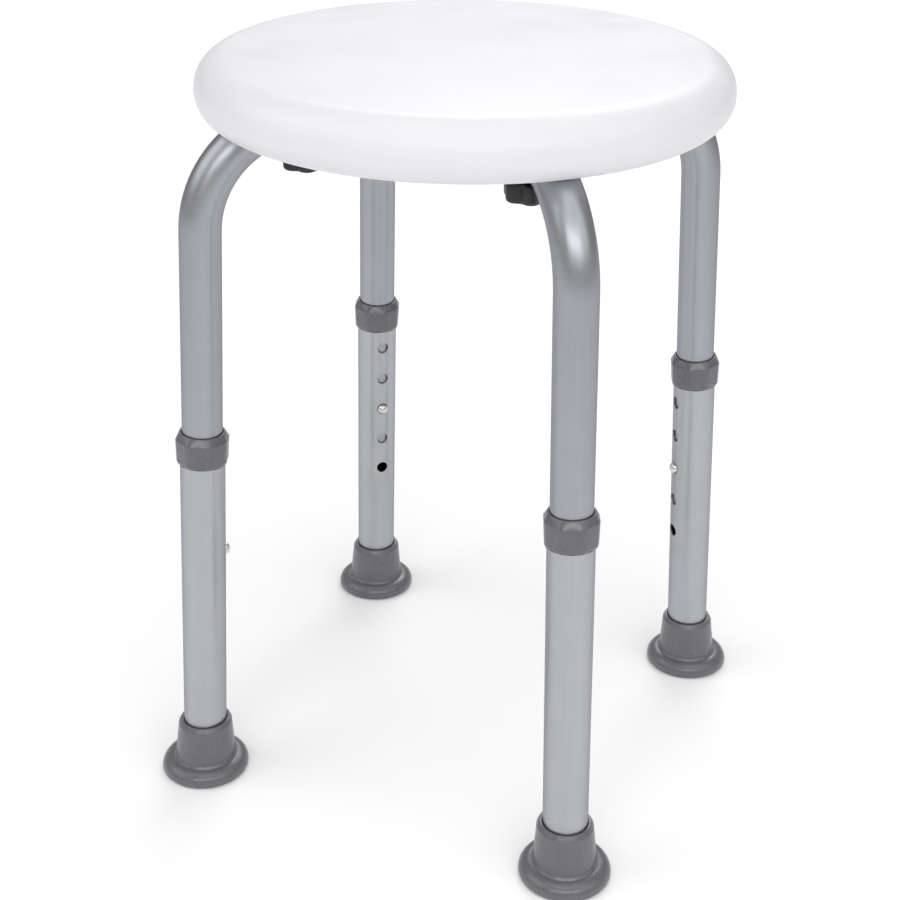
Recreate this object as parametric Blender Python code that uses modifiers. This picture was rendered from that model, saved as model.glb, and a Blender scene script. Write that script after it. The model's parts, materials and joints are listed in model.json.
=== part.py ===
"""Round shower stool with four height-adjustable legs.

A hollow blow-moulded seat has four channels under it. A bent aluminium tube lies in each channel and is
clamped there by a hand knob, whose threaded stud goes up through the tube into an insert in the seat.
A wider tube with five holes slides on each bent tube, and a spring button locks it at one of the holes.
Origin: on the floor, under the middle of the seat. +Z up, -Y front.
"""
from math import cos, pi, radians, sin, tan

import bmesh
import bpy
from mathutils import Vector

# Driving dimensions, in metres
SEAT_HEIGHT = 0.470
SEAT_DIAMETER = 0.318
SEAT_THICKNESS = 0.0354
SEAT_TOP_ROUND = 0.0180
SEAT_BOTTOM_ROUND = 0.0155
SEAT_WALL = 0.0030
VENT_DIAMETER = 0.0080

LEG_OUTSET = 0.0248
LEG_LEAN = radians(2.98)
TUBE_DIAMETER = 0.0250
TUBE_WALL = 0.0012
TUBE_SINK = 0.0044
TUBE_INNER_END = 0.0420
BEND_RADIUS = 0.0640
TUBE_TAIL = 0.0360

SLEEVE_WALL = 0.0012
SLEEVE_TOP = 0.2478
HOLE_COUNT = 5
HOLE_PITCH = 0.0254
HOLE_DIAMETER = 0.0082
BUTTON_HEIGHT = 0.1659
BUTTON_PROUD = 0.0032

COLLAR_WALL = 0.0022
COLLAR_SKIRT = 0.0180
COLLAR_LIP = 0.0027
COLLAR_TAPER = 0.0007

FOOT_HEIGHT = 0.0390
FOOT_WALL = 0.0034
FOOT_TAPER = 0.0026
FOOT_SOLE = 0.0057
FOOT_FLANGE_DIAMETER = 0.0576
FOOT_FLANGE_HEIGHT = 0.0104
FOOT_EDGE_HEIGHT = 0.0030
FOOT_SOLE_INSET = 0.0022
FOOT_DISC_THICKNESS = 0.0015

STUD_DIAMETER = 0.0080
STUD_GRIP = 0.0100
INSERT_WALL = 0.0020
INSERT_LENGTH = 0.0115
KNOB_SETBACK = 0.0014
KNOB_DIAMETER = 0.0310
KNOB_LOBES = 6
KNOB_LOBE_DEPTH = 0.0034
KNOB_HEIGHT = 0.0112
KNOB_EDGE = 0.0012
KNOB_FLOOR = 0.0036
KNOB_BOSS_DIAMETER = 0.0160
KNOB_BOSS_HEIGHT = 0.0035
SADDLE_DIAMETER = 0.0200
SADDLE_THICKNESS = 0.0015
SADDLE_HEIGHT = 0.0045

CLIP_WIDTH = 0.0070
CLIP_THICKNESS = 0.0008
CLIP_DROP = 0.0220
CLIP_RISE = 0.0070
CLIP_FOLD_RADIUS = 0.0022

PLUG_CAP = 0.0020
PLUG_STEM = 0.0100
PLUG_WALL = 0.0018

WELD = 1e-5
GAP = 0.0003
CHANNEL_GAP = 0.0004

TOP_ROUND_LIMIT = 0.53  # of the seat's thickness
BOTTOM_ROUND_LIMIT = 0.45

TUBE_SIDES = 16
ROUND_SIDES = 20
HOLE_SIDES = 10
SEAT_SIDES = 60
BEND_STEPS = 6
EDGE_STEPS = 4
LOBE_STEPS = 5

# Each leg's heading towards the middle, and how far its knob happens to be turned, in degrees
CORNERS = {"front_left": 45, "front_right": 135, "rear_right": -135, "rear_left": -45}
KNOB_TURNS = {"front_left": 16, "front_right": 42, "rear_right": 21, "rear_left": 50}

# Sizes that follow from the driving dimensions
seat_radius = SEAT_DIAMETER / 2
seat_bottom = SEAT_HEIGHT - SEAT_THICKNESS
leg_radius = seat_radius + LEG_OUTSET
tube_radius = TUBE_DIAMETER / 2
tube_bore = tube_radius - TUBE_WALL
sleeve_bore = tube_radius + GAP
sleeve_radius = sleeve_bore + SLEEVE_WALL
hole_radius = HOLE_DIAMETER / 2
stud_radius = STUD_DIAMETER / 2
stud_hole = stud_radius + GAP
axis_height = seat_bottom + TUBE_SINK
channel_radius = tube_radius + CHANNEL_GAP
channel_end = TUBE_INNER_END - PLUG_CAP - 3 * GAP
along = Vector((sin(LEG_LEAN), 0, cos(LEG_LEAN)))
across = Vector((cos(LEG_LEAN), 0, -sin(LEG_LEAN)))


def clear_scene():
    for thing in list(bpy.data.objects):
        bpy.data.objects.remove(thing)


def collection(name):
    group = bpy.data.collections.new(name)
    bpy.context.scene.collection.children.link(group)
    return group


def material(name, colour, roughness, metallic=0.0):
    finish = bpy.data.materials.new(name)
    finish.use_nodes = True
    shader = finish.node_tree.nodes["Principled BSDF"]
    shader.inputs["Base Color"].default_value = (*colour, 1)
    shader.inputs["Roughness"].default_value = roughness
    shader.inputs["Metallic"].default_value = metallic
    return finish


def evaluated_mesh(name, holder):
    """The mesh that an object's modifiers or bevel give; the object itself is thrown away."""
    bpy.context.view_layer.update()
    graph = bpy.context.evaluated_depsgraph_get()
    mesh = bpy.data.meshes.new_from_object(holder.evaluated_get(graph))
    mesh.name = name
    bpy.data.objects.remove(holder)
    return mesh


def welded(mesh):
    work = bmesh.new()
    work.from_mesh(mesh)
    bmesh.ops.remove_doubles(work, verts=work.verts, dist=WELD)
    bmesh.ops.dissolve_degenerate(work, edges=work.edges, dist=WELD)
    bmesh.ops.recalc_face_normals(work, faces=work.faces)
    work.to_mesh(mesh)
    work.free()
    return mesh


def turned(name, profile, sides, closed=False):
    """A profile of (radius, height) points, outer side from top to bottom, turned about Z."""
    mesh = bpy.data.meshes.new(name)
    count = len(profile)
    edges = [(i, (i + 1) % count) for i in range(count if closed else count - 1)]
    mesh.from_pydata([(radius, 0, height) for radius, height in profile], edges, [])
    holder = bpy.data.objects.new(name, mesh)
    cutters.objects.link(holder)
    screw = holder.modifiers.new("turn", "SCREW")
    screw.steps = sides
    screw.render_steps = sides
    screw.use_merge_vertices = True
    screw.merge_threshold = WELD
    return welded(evaluated_mesh(name, holder))


def swept(name, path, radius, capped=True):
    """A round bar along a path, or its open skin when it isn't capped."""
    curve = bpy.data.curves.new(name, "CURVE")
    curve.dimensions = "3D"
    curve.bevel_depth = radius
    curve.bevel_resolution = TUBE_SIDES // 2 - 2
    curve.use_fill_caps = capped
    spline = curve.splines.new("POLY")
    spline.points.add(len(path) - 1)
    for point, place in zip(spline.points, path):
        point.co = (*place, 1)
    holder = bpy.data.objects.new(name, curve)
    cutters.objects.link(holder)
    return welded(evaluated_mesh(name, holder))


def thickened(name, mesh, thickness, offset):
    """An open skin made into a wall; offset -1 grows it inwards, 0 to both sides."""
    holder = bpy.data.objects.new(name, mesh)
    cutters.objects.link(holder)
    wall = holder.modifiers.new("wall", "SOLIDIFY")
    wall.thickness = thickness
    wall.offset = offset
    wall.use_even_offset = True
    return evaluated_mesh(name, holder)


def cylinder(name, radius, low, high, sides=HOLE_SIDES):
    return turned(name, [(0, high), (radius, high), (radius, low), (0, low)], sides)


def joined(name, mesh, tools, operation="DIFFERENCE"):
    """The mesh with each tool object cut out of it, or united with it."""
    holder = bpy.data.objects.new(name, mesh)
    cutters.objects.link(holder)
    for tool in tools:
        step = holder.modifiers.new(tool.name, "BOOLEAN")
        step.operation = operation
        step.solver = "EXACT"
        step.object = tool
    return welded(evaluated_mesh(name, holder))


def cutter(name, mesh, location=(0, 0, 0), turn_y=0.0, turn_z=0.0):
    tool = bpy.data.objects.new(name, mesh)
    tool.location = location
    tool.rotation_euler = (0, turn_y, turn_z)
    tool.hide_render = True
    tool.display_type = "WIRE"
    cutters.objects.link(tool)
    return tool


def piece(name, mesh, finish, parent=None, location=(0, 0, 0), turn_y=0.0, turn_z=0.0):
    part = bpy.data.objects.new(name, mesh)
    if not mesh.materials:
        mesh.materials.append(finish)
        mesh.shade_smooth()
        mesh.set_sharp_from_angle(angle=radians(35))
    part.location = location
    part.rotation_euler = (0, turn_y, turn_z)
    part.parent = parent
    stool.objects.link(part)
    return part


def arc(centre, radius, first, last, steps):
    """Points of a profile's round corner, from one angle to another."""
    angles = [first + (last - first) * i / steps for i in range(steps + 1)]
    return [(centre[0] + radius * cos(a), centre[1] + radius * sin(a)) for a in angles]


# Each leg is made in a frame of its own: origin on the leg's axis at the floor, +X towards the stool's
# middle, +Z up. The leg leans towards +X, and its tube then bends over to run along +X under the seat.

def tube_path():
    turn = pi / 2 - LEG_LEAN
    tangent = BEND_RADIUS * tan(turn / 2)
    start = along * (axis_height / cos(LEG_LEAN) - tangent)
    centre = start + across * BEND_RADIUS
    bend = []
    for i in range(BEND_STEPS + 1):
        angle = turn * i / BEND_STEPS
        bend.append(centre + BEND_RADIUS * (sin(angle) * along - cos(angle) * across))
    inner_end = Vector((leg_radius - TUBE_INNER_END, 0, axis_height))
    return [along * (BUTTON_HEIGHT - TUBE_TAIL), *bend, inner_end]


path = tube_path()
bend_end = path[-2].x
knob_x = bend_end + KNOB_SETBACK
knob_radius = leg_radius - knob_x
tube_underside = axis_height - tube_radius
saddle_bottom = tube_underside - GAP - SADDLE_THICKNESS
boss_top = saddle_bottom - GAP
lobes_top = boss_top - KNOB_BOSS_HEIGHT
knob_bottom = lobes_top - KNOB_HEIGHT
insert_bottom = axis_height + channel_radius + GAP
insert_top = insert_bottom + INSERT_LENGTH
insert_radius = stud_hole + INSERT_WALL
pocket_radius = insert_radius + GAP


def seat_outline(inset, steps):
    """Half section of the seat, pulled in everywhere by the inset."""
    top_round = min(SEAT_TOP_ROUND, TOP_ROUND_LIMIT * SEAT_THICKNESS)
    bottom_round = min(SEAT_BOTTOM_ROUND, BOTTOM_ROUND_LIMIT * SEAT_THICKNESS)
    top = (seat_radius - top_round, SEAT_HEIGHT - top_round)
    bottom = (seat_radius - bottom_round, seat_bottom + bottom_round)
    return [
        (0, SEAT_HEIGHT - inset),
        *arc(top, top_round - inset, pi / 2, 0, steps),
        *arc(bottom, bottom_round - inset, 0, -pi / 2, steps),
        (0, seat_bottom + inset),
    ]


def channel_tools(radius, inner_end, name):
    """For each leg, the room that its tube needs under the seat, open downwards where the tube is level."""
    route = [*path[1:-1], Vector((leg_radius - inner_end, 0, axis_height))]
    round_part = swept(name, route, radius)
    width = radius * cos(pi / TUBE_SIDES)
    work = bmesh.new()
    bmesh.ops.create_cube(work, size=1)
    start = bend_end - GAP
    length = leg_radius - inner_end - GAP - start
    for vert in work.verts:
        vert.co.x = start + length * (vert.co.x + 0.5)
        vert.co.y *= 2 * width
        vert.co.z = axis_height + SEAT_THICKNESS * (vert.co.z - 0.5)
    slot = bpy.data.meshes.new(name + "_slot")
    work.to_mesh(slot)
    work.free()
    tools = []
    for corner, heading in CORNERS.items():
        turn = radians(heading)
        spot = (-leg_radius * cos(turn), -leg_radius * sin(turn), 0)
        tools.append(cutter(f"{name}_{corner}", round_part, spot, turn_z=turn))
        tools.append(cutter(f"{name}_slot_{corner}", slot, spot, turn_z=turn))
    return tools


def ring_of(name, mesh, radius):
    """One copy of a tool above each knob."""
    tools = []
    for corner, heading in CORNERS.items():
        turn = radians(heading)
        spot = (-radius * cos(turn), -radius * sin(turn), 0)
        tools.append(cutter(f"{name}_{corner}", mesh, spot, turn_z=turn))
    return tools


def make_seat():
    shell = turned("seat", seat_outline(0, EDGE_STEPS), SEAT_SIDES)
    hollow = turned("hollow", seat_outline(SEAT_WALL, EDGE_STEPS - 2), SEAT_SIDES)
    jackets = channel_tools(channel_radius + SEAT_WALL, channel_end - SEAT_WALL, "jacket")
    boss = cylinder("boss", pocket_radius + SEAT_WALL, axis_height, SEAT_HEIGHT, ROUND_SIDES)
    hollow = joined("hollow", hollow, [*jackets, *ring_of("boss", boss, knob_radius)])
    pocket = cylinder("pocket", pocket_radius, axis_height, insert_top + GAP, ROUND_SIDES)
    vent = cylinder("vent", VENT_DIAMETER / 2, seat_bottom - SEAT_WALL, seat_bottom + 2 * SEAT_WALL)
    tools = [
        cutter("hollow", hollow),
        *channel_tools(channel_radius, channel_end, "channel"),
        *ring_of("pocket", pocket, knob_radius),
        cutter("vent", vent),
    ]
    piece("seat", joined("seat", shell, tools), polyethylene)


def upper_tube_mesh():
    skin = swept("upper_tube", path, tube_radius, capped=False)
    wall = thickened("upper_tube", skin, TUBE_WALL, -1)
    button_hole = cylinder("button_hole", hole_radius, 0, TUBE_DIAMETER)
    passage_low, passage_high = axis_height - TUBE_DIAMETER, axis_height + TUBE_DIAMETER
    stud_passage = cylinder("stud_passage", stud_hole, passage_low, passage_high)
    tools = [
        cutter("button_hole", button_hole, along * BUTTON_HEIGHT, LEG_LEAN + pi / 2),
        cutter("stud_passage", stud_passage, (knob_x, 0, 0)),
    ]
    return joined("upper_tube", wall, tools)


def sleeve_mesh():
    clear_of_disc = FOOT_SOLE + 3 * GAP + FOOT_DISC_THICKNESS
    start = clear_of_disc / cos(LEG_LEAN) + sleeve_radius * tan(LEG_LEAN)
    skin = swept("lower_tube", [along * start, along * SLEEVE_TOP], sleeve_radius, capped=False)
    wall = thickened("lower_tube", skin, SLEEVE_WALL, -1)
    hole = cylinder("height_hole", hole_radius, 0, 2 * sleeve_radius)
    tools = []
    for i in range(HOLE_COUNT):
        height = BUTTON_HEIGHT + (i - HOLE_COUNT // 2) * HOLE_PITCH
        tools.append(cutter(f"height_hole_{i}", hole, along * height, LEG_LEAN + pi / 2))
    return joined("lower_tube", wall, tools)


def collar_mesh():
    skirt_bore = sleeve_radius + GAP
    lip_bore = tube_radius + GAP
    top_radius = sleeve_radius + GAP + COLLAR_WALL
    bevel = COLLAR_WALL
    profile = [
        (top_radius - bevel, COLLAR_SKIRT + COLLAR_LIP),
        (top_radius, COLLAR_SKIRT - COLLAR_LIP / 2),
        (top_radius - COLLAR_TAPER, 0),
        (skirt_bore, 0),
        (skirt_bore, COLLAR_SKIRT + GAP),
        (lip_bore, COLLAR_SKIRT + GAP),
        (lip_bore, COLLAR_SKIRT + COLLAR_LIP),
    ]
    return turned("collar", profile, ROUND_SIDES, closed=True)


def foot_mesh():
    """A rubber tip: level sole and flange, and a cup that leans with the leg."""
    bore = sleeve_radius + GAP
    rim = bore + FOOT_WALL
    base = rim + FOOT_TAPER
    flange = FOOT_FLANGE_DIAMETER / 2
    shoulder = []
    for i in range(EDGE_STEPS + 1):
        angle = pi / 2 * (1 - i / EDGE_STEPS)
        height = FOOT_EDGE_HEIGHT + (FOOT_FLANGE_HEIGHT - FOOT_EDGE_HEIGHT) * sin(angle)
        shoulder.append((base + (flange - base) * cos(angle), height))
    profile = [
        (0, FOOT_SOLE),
        (bore, FOOT_SOLE),
        (bore, FOOT_HEIGHT),
        (bore + FOOT_WALL / 2, FOOT_HEIGHT),
        (rim, FOOT_HEIGHT - FOOT_WALL),
        *shoulder,
        (flange - FOOT_SOLE_INSET, 0),
        (0, 0),
    ]
    mesh = turned("foot", profile, ROUND_SIDES)
    for vert in mesh.vertices:
        vert.co.x += vert.co.z * tan(LEG_LEAN)
    return mesh


def knob_mesh():
    """A star of lobes with a boss on top and a blind hole for its stud."""
    middle = (KNOB_DIAMETER - KNOB_LOBE_DEPTH) / 2
    outline = bpy.data.curves.new("knob", "CURVE")
    outline.dimensions = "2D"
    outline.fill_mode = "BOTH"
    outline.extrude = KNOB_HEIGHT / 2 - KNOB_EDGE
    outline.bevel_depth = KNOB_EDGE
    outline.bevel_resolution = 0
    outline.offset = -KNOB_EDGE
    spline = outline.splines.new("POLY")
    count = LOBE_STEPS * KNOB_LOBES
    spline.points.add(count - 1)
    spline.use_cyclic_u = True
    for i, point in enumerate(spline.points):
        angle = 2 * pi * i / count
        reach = middle + KNOB_LOBE_DEPTH / 2 * cos(KNOB_LOBES * angle)
        point.co = (reach * cos(angle), reach * sin(angle), 0, 1)
    holder = bpy.data.objects.new("knob", outline)
    cutters.objects.link(holder)
    lobes = welded(evaluated_mesh("knob", holder))
    for vert in lobes.vertices:
        vert.co.z += (lobes_top + knob_bottom) / 2
    middle_height = (lobes_top + knob_bottom) / 2
    boss = cylinder("knob_boss", KNOB_BOSS_DIAMETER / 2, middle_height, boss_top, ROUND_SIDES)
    socket = cylinder("knob_socket", stud_hole, knob_bottom + KNOB_FLOOR, boss_top + GAP)
    knob = joined("knob", lobes, [cutter("knob_boss", boss)], "UNION")
    return joined("knob", knob, [cutter("knob_socket", socket)])


def saddle_mesh():
    """The block between knob and tube, hollowed on top to the tube's round."""
    saddle_top = saddle_bottom + SADDLE_HEIGHT
    block = cylinder("saddle", SADDLE_DIAMETER / 2, saddle_bottom, saddle_top, ROUND_SIDES)
    bed = swept("saddle_bed", [place - Vector((knob_x, 0, 0)) for place in path], tube_radius + GAP)
    passage = cylinder("saddle_passage", stud_hole, saddle_bottom - GAP, axis_height)
    return joined("saddle", block, [cutter("saddle_bed", bed), cutter("saddle_passage", passage)])


def clip_mesh():
    """A strip of spring steel folded to a V; its origin is on the leg's axis, level with the button."""
    half_width = CLIP_WIDTH / 2
    reach = (tube_bore ** 2 - half_width ** 2) ** 0.5 * cos(pi / TUBE_SIDES) - GAP - CLIP_THICKNESS / 2
    fold = [(CLIP_FOLD_RADIUS * cos(a), -CLIP_DROP + CLIP_FOLD_RADIUS * sin(a)) for a in
            (0, -pi / 4, -pi / 2, -3 * pi / 4, -pi)]
    route = [(reach, CLIP_RISE), (reach, -CLIP_RISE), *fold, (-reach, CLIP_RISE)]
    mesh = bpy.data.meshes.new("clip")
    verts = [(x, side * half_width, z) for x, z in route for side in (-1, 1)]
    faces = [(2 * i, 2 * i + 1, 2 * i + 3, 2 * i + 2) for i in range(len(route) - 1)]
    mesh.from_pydata(verts, [], faces)
    return thickened("clip", mesh, CLIP_THICKNESS, 0)


def button_mesh():
    """A domed pin; its axis is local Z and its origin is on the leg's axis."""
    pin = hole_radius - GAP
    tip = sleeve_radius + BUTTON_PROUD
    half_width = CLIP_WIDTH / 2
    root = (tube_bore ** 2 - half_width ** 2) ** 0.5 * cos(pi / TUBE_SIDES)
    dome = [(pin * cos(a), tip - BUTTON_PROUD * (1 - sin(a))) for a in (pi / 3, pi / 6, 0)]
    return turned("button", [(0, tip), *dome, (pin, root), (0, root)], HOLE_SIDES)


def plug_mesh():
    """A push-in cap; its axis is local Z, and its origin is the centre of the tube's end."""
    stem = tube_bore - GAP
    profile = [
        (0, GAP + PLUG_CAP),
        (tube_radius - PLUG_CAP / 2, GAP + PLUG_CAP),
        (tube_radius, GAP + PLUG_CAP / 2),
        (tube_radius, GAP),
        (stem, GAP),
        (stem, -PLUG_STEM),
        (stem - PLUG_WALL, -PLUG_STEM),
        (stem - PLUG_WALL, 0),
        (0, 0),
    ]
    return turned("plug", profile, TUBE_SIDES)


def make_legs():
    upper_tube = upper_tube_mesh()
    sleeve = sleeve_mesh()
    collar = collar_mesh()
    foot = foot_mesh()
    disc_low = FOOT_SOLE + GAP
    disc = cylinder("disc", sleeve_radius - 3 * GAP, disc_low, disc_low + FOOT_DISC_THICKNESS, ROUND_SIDES)
    knob = knob_mesh()
    stud = cylinder("stud", stud_radius, knob_bottom + KNOB_FLOOR + GAP, insert_bottom + STUD_GRIP)
    saddle = saddle_mesh()
    insert_profile = [(insert_radius, insert_top), (insert_radius, insert_bottom)]
    insert_profile += [(stud_hole, insert_bottom), (stud_hole, insert_top)]
    insert = turned("insert", insert_profile, ROUND_SIDES, closed=True)
    clip = clip_mesh()
    button = button_mesh()
    plug = plug_mesh()
    for corner, heading in CORNERS.items():
        turn = radians(heading)
        leg = bpy.data.objects.new(f"leg_{corner}", None)
        leg.location = (-leg_radius * cos(turn), -leg_radius * sin(turn), 0)
        leg.rotation_euler = (0, 0, turn)
        stool.objects.link(leg)
        knob_spot = (knob_x, 0, 0)
        button_spot = along * BUTTON_HEIGHT
        piece(f"threaded_insert_{corner}", insert, brass, leg, knob_spot)
        piece(f"upper_tube_{corner}", upper_tube, aluminium, leg)
        piece(f"end_plug_{corner}", plug, black_plastic, leg, path[-1], pi / 2)
        piece(f"saddle_washer_{corner}", saddle, black_plastic, leg, knob_spot)
        piece(f"knob_stud_{corner}", stud, steel, leg, knob_spot)
        piece(f"knob_{corner}", knob, black_plastic, leg, knob_spot, turn_z=radians(KNOB_TURNS[corner]))
        piece(f"spring_clip_{corner}", clip, steel, leg, button_spot, LEG_LEAN)
        piece(f"button_{corner}", button, steel, leg, button_spot, LEG_LEAN + pi / 2)
        piece(f"lower_tube_{corner}", sleeve, aluminium, leg)
        piece(f"collar_{corner}", collar, grey_plastic, leg, along * (SLEEVE_TOP - COLLAR_SKIRT), LEG_LEAN)
        piece(f"foot_disc_{corner}", disc, steel, leg, (disc_low * tan(LEG_LEAN), 0, 0))
        piece(f"foot_{corner}", foot, grey_rubber, leg)


# How far each knob happens to stand turned, in degrees

clear_scene()
stool = collection("shower_stool")
cutters = collection("cutters")
polyethylene = material("white_polyethylene", (0.90, 0.90, 0.89), 0.45)
aluminium = material("anodised_aluminium", (0.62, 0.63, 0.65), 0.35, 1.0)
steel = material("plated_steel", (0.60, 0.60, 0.60), 0.25, 1.0)
brass = material("turned_brass", (0.70, 0.52, 0.25), 0.35, 1.0)
black_plastic = material("black_nylon", (0.015, 0.015, 0.016), 0.45)
grey_plastic = material("grey_polypropylene", (0.13, 0.13, 0.14), 0.40)
grey_rubber = material("grey_rubber", (0.12, 0.12, 0.13), 0.55)
make_seat()
make_legs()
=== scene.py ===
import json
from math import atan2, ceil, cos, hypot, pi, radians, sin, sqrt, tan

import bmesh
import bpy
from mathutils import Matrix, Vector


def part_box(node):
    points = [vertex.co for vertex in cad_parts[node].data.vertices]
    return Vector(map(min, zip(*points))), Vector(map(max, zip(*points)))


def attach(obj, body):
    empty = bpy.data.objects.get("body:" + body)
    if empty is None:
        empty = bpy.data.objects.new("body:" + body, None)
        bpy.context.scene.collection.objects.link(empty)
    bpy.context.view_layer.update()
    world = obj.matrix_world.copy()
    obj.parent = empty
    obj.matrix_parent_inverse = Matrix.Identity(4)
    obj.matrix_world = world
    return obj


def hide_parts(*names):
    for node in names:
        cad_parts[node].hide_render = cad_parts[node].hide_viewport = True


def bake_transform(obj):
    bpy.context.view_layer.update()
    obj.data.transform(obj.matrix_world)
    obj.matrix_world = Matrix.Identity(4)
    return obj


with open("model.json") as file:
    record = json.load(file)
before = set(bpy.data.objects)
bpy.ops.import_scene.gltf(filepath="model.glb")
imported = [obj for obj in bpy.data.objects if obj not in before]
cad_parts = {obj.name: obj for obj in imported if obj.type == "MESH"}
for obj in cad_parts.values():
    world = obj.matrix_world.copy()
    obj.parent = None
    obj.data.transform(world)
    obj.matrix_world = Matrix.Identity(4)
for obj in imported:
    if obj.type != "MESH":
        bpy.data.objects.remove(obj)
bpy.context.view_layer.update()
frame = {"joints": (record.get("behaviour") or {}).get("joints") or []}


# --- Seat ---------------------------------------------------------------------------------------------
# One hollow shell of white high-density polyethylene, blow-moulded in two half moulds. The moulds leave a
# faint parting line round the rim. Below are four channels for the leg tubes, conical dimples that tie
# the underside to the top, and a vent where the air went in.

mm = 0.001
seat_low, seat_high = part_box("seat")
SEAT_RADIUS = (seat_high.x - seat_low.x) / 2
SEAT_TOP = seat_high.z
SEAT_BOTTOM = seat_low.z
SEAT_SIDES = 192
TOP_ROUND = 18 * mm
BOTTOM_ROUND = 15.5 * mm
PARTING_LINE = 0.15 * mm
PARTING_HALF_WIDTH = 0.5 * mm
LIP = 1.2 * mm
LIP_TURNS = (1.12 * pi, 1.25 * pi, 1.38 * pi, 1.47 * pi)
DIMPLE_MOUTH = 8.5 * mm
DIMPLE_DEPTH = 9 * mm
DIMPLE_RINGS = [(62 * mm, [0]), (112 * mm, [-19, 19])]
DIMPLE_FILLET = 2.5 * mm
VENT_RADIUS = 4 * mm
VENT_DEPTH = 6 * mm
WELD_DISTANCE = 2e-6

TUBE_RADIUS = 12.5 * mm
TUBE_SINK = 4.4 * mm
TUBE_INNER_END = 42 * mm
BEND_RADIUS = 64 * mm
CHANNEL_GAP = 0.4 * mm
CHANNEL_END = TUBE_INNER_END - 3.2 * mm
CORNERS = ["front_left", "front_right", "rear_right", "rear_left"]

joints = {joint["name"]: joint for joint in frame["joints"]}


def leg_frame(corner):
    """A leg's own axes: origin on its axis at the floor, +X to the stool's middle; and how far it leans."""
    axis = Vector(joints["leg_slide_" + corner]["axis"])
    inward = Vector((-axis.x, -axis.y, 0)).normalized()
    lean = atan2(hypot(axis.x, axis.y), -axis.z)
    low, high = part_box("foot_" + corner)
    spot = (low + high) / 2
    spot.z = 0
    return Matrix.Translation(spot) @ Matrix.Rotation(atan2(inward.y, inward.x), 4, "Z"), lean, spot.length


legs = {corner: leg_frame(corner)[0] for corner in CORNERS}
LEAN, LEG_RADIUS = leg_frame("front_left")[1:]
AXIS_HEIGHT = SEAT_BOTTOM + TUBE_SINK
ALONG = Vector((sin(LEAN), 0, cos(LEAN)))
ACROSS = Vector((cos(LEAN), 0, -sin(LEAN)))


def rounded(corners, steps=5):
    """A profile's points, from corners of (radius, height) or (radius, height, fillet)."""
    points = []
    for i, corner in enumerate(corners):
        here = Vector(corner[:2])
        fillet = corner[2] if len(corner) > 2 else 0
        if not fillet or i in (0, len(corners) - 1):
            points.append(tuple(here))
            continue
        back, on = (Vector(corners[j][:2]) - here for j in (i - 1, i + 1))
        room = [side.length * (0.49 if len(corners[j]) > 2 else 0.98)
                for side, j in ((back, i - 1), (on, i + 1))]
        half = back.angle(on) / 2
        reach = min(fillet / tan(half), *room)
        first, last = here + back.normalized() * reach, here + on.normalized() * reach
        middle = here + (back.normalized() + on.normalized()).normalized() * reach / cos(half)
        start, end = first - middle, last - middle
        turn = start.angle_signed(end)
        for step in range(steps + 1):
            angle = -turn * step / steps
            spoke = Vector((start.x * cos(angle) - start.y * sin(angle),
                            start.x * sin(angle) + start.y * cos(angle)))
            points.append(tuple(middle + spoke))
    return points


def lofted(name, rings, closed=False):
    """A closed skin over rings of points, with a UV map in metres: round it and along it."""
    work = bmesh.new()
    layer = work.loops.layers.uv.new("metres")
    verts = [[work.verts.new(point) for point in ring] for ring in rings]
    travel = [0.0]
    for before, after in zip(rings, rings[1:] + rings[:1]):
        travel.append(travel[-1] + (Vector(after[0]) - Vector(before[0])).length)
    pairs = len(rings) if closed else len(rings) - 1
    for i in range(pairs):
        low, high = verts[i], verts[(i + 1) % len(rings)]
        count = max(len(low), len(high))
        if count == 1:
            continue
        wide = rings[i] if len(low) > 1 else rings[(i + 1) % len(rings)]
        step = (Vector(wide[1]) - Vector(wide[0])).length
        for j in range(count):
            corners = [(low, j, travel[i]), (low, j + 1, travel[i]),
                       (high, j + 1, travel[i + 1]), (high, j, travel[i + 1])]
            if len(low) == 1:
                corners.pop(0)
            elif len(high) == 1:
                corners.pop(2)
            face = work.faces.new([ring[k % len(ring)] for ring, k, _ in corners])
            for loop, (_, k, far) in zip(face.loops, corners):
                loop[layer].uv = (k * step, far)
    if not closed:
        for ring in (verts[0], verts[-1]):
            if len(ring) > 1:
                work.faces.new(ring)
    bmesh.ops.recalc_face_normals(work, faces=work.faces)
    mesh = bpy.data.meshes.new(name)
    work.to_mesh(mesh)
    work.free()
    return mesh


def turned(name, profile, sides, reach=None, closed=False):
    """A profile of (radius, height) turned about Z; reach(radius, angle, height) shapes its rings."""
    rings = []
    for radius, height in profile:
        ring = []
        for i in range(sides if radius > 1e-6 else 1):
            angle = 2 * pi * i / sides
            out = reach(radius, angle, height) if reach else radius
            ring.append((out * cos(angle), out * sin(angle), height))
        rings.append(ring)
    return lofted(name, rings, closed)


def bent_path(steps, level_end):
    """The leg tube's centre line in a leg's own axes, from where its bend starts to a radius inside."""
    turn = pi / 2 - LEAN
    start = ALONG * (AXIS_HEIGHT / cos(LEAN) - BEND_RADIUS * tan(turn / 2))
    centre = start + ACROSS * BEND_RADIUS
    bend = [centre + BEND_RADIUS * (sin(turn * i / steps) * ALONG - cos(turn * i / steps) * ACROSS)
            for i in range(steps + 1)]
    return [*bend, Vector((LEG_RADIUS - level_end, 0, AXIS_HEIGHT))]


def rings_along(path, radius, sides):
    """Circles across a path that lies in the XZ plane."""
    rings = []
    for i, place in enumerate(path):
        before, after = path[max(i - 1, 0)], path[min(i + 1, len(path) - 1)]
        way = (after - before).normalized()
        side = Vector((way.z, 0, -way.x))
        ring = []
        for j in range(sides):
            angle = 2 * pi * j / sides
            ring.append(place + radius * (cos(angle) * side + sin(angle) * Vector((0, 1, 0))))
        rings.append(ring)
    return rings


def placed(mesh, matrix):
    copy = mesh.copy()
    copy.transform(matrix)
    return copy


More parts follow.
